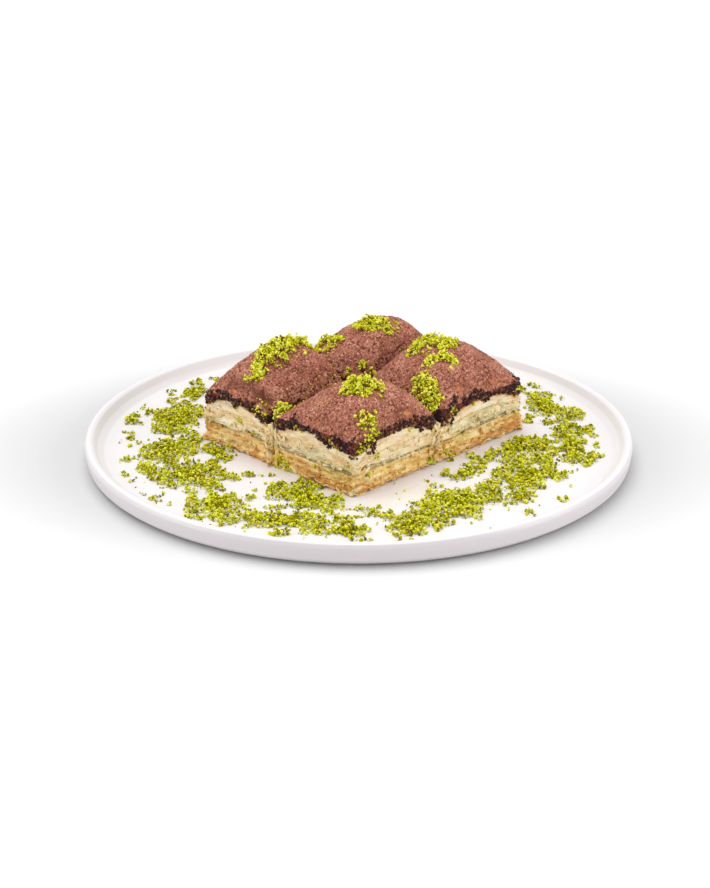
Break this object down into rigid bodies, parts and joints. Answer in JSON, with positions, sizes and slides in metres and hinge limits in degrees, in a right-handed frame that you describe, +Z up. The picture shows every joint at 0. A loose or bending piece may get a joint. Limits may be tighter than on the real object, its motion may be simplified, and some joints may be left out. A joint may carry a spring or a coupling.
{
  "type": "plate of cold milk baklava",
  "caption": "Square pieces of cold milk baklava with puffed cocoa crusts and a pistachio layer, set in a block on a round white rimmed plate strewn with ground pistachio.",
  "frame": {"origin": "middle of the plate's foot, on the surface that the plate stands on", "axes": "+Z up, -Y towards the viewer who sees the front corner of the block of pastry, +X to that viewer's right"},
  "size_m": [0.25, 0.25, 0.0524],
  "materials": {
    "plate_glaze": "white satin glaze",
    "golden_pastry": "golden soaked pastry sheets, moist",
    "pale_pastry": "pale milk-soaked pastry sheets, moist",
    "pistachio_filling": "moist ground pistachio",
    "cocoa_crust": "cocoa powder on baked pastry, chocolate crumbs",
    "ground_pistachio": "dry ground pistachio"
  },
  "bodies": {
    "root": {"plate": "plate_glaze", "lower_pastry_front": "golden_pastry", "lower_pastry_right": "golden_pastry", "lower_pastry_left": "golden_pastry", "lower_pastry_back": "golden_pastry", "pistachio_filling_front": "pistachio_filling", "pistachio_filling_right": "pistachio_filling", "pistachio_filling_left": "pistachio_filling", "pistachio_filling_back": "pistachio_filling", "upper_pastry_front": "pale_pastry", "upper_pastry_right": "pale_pastry", "upper_pastry_left": "pale_pastry", "upper_pastry_back": "pale_pastry", "cocoa_top_front": "cocoa_crust", "cocoa_top_right": "cocoa_crust", "cocoa_top_left": "cocoa_crust", "cocoa_top_back": "cocoa_crust", "pistachio_mound_front_top": "ground_pistachio", "pistachio_mound_front_low": "ground_pistachio", "pistachio_mound_left_top": "ground_pistachio", "pistachio_mound_left_back": "ground_pistachio", "pistachio_mound_left_front": "ground_pistachio", "pistachio_mound_right_top": "ground_pistachio", "pistachio_mound_right_mid": "ground_pistachio", "pistachio_mound_right_gap": "ground_pistachio", "pistachio_mound_back_top": "ground_pistachio", "pistachio_mound_centre": "ground_pistachio", "pistachio_drift_left_back": "ground_pistachio", "pistachio_drift_left": "ground_pistachio", "pistachio_drift_left_side": "ground_pistachio", "pistachio_drift_left_wall": "ground_pistachio", "pistachio_drift_front_left": "ground_pistachio", "pistachio_drift_front_left_low": "ground_pistachio", "pistachio_drift_front_wall": "ground_pistachio", "pistachio_drift_front": "ground_pistachio", "pistachio_drift_front_low": "ground_pistachio", "pistachio_drift_front_right": "ground_pistachio", "pistachio_drift_front_right_low": "ground_pistachio", "pistachio_drift_right": "ground_pistachio", "pistachio_drift_right_wall": "ground_pistachio", "pistachio_drift_right_side": "ground_pistachio", "pistachio_drift_right_back": "ground_pistachio"}
  },
  "joints": []
}
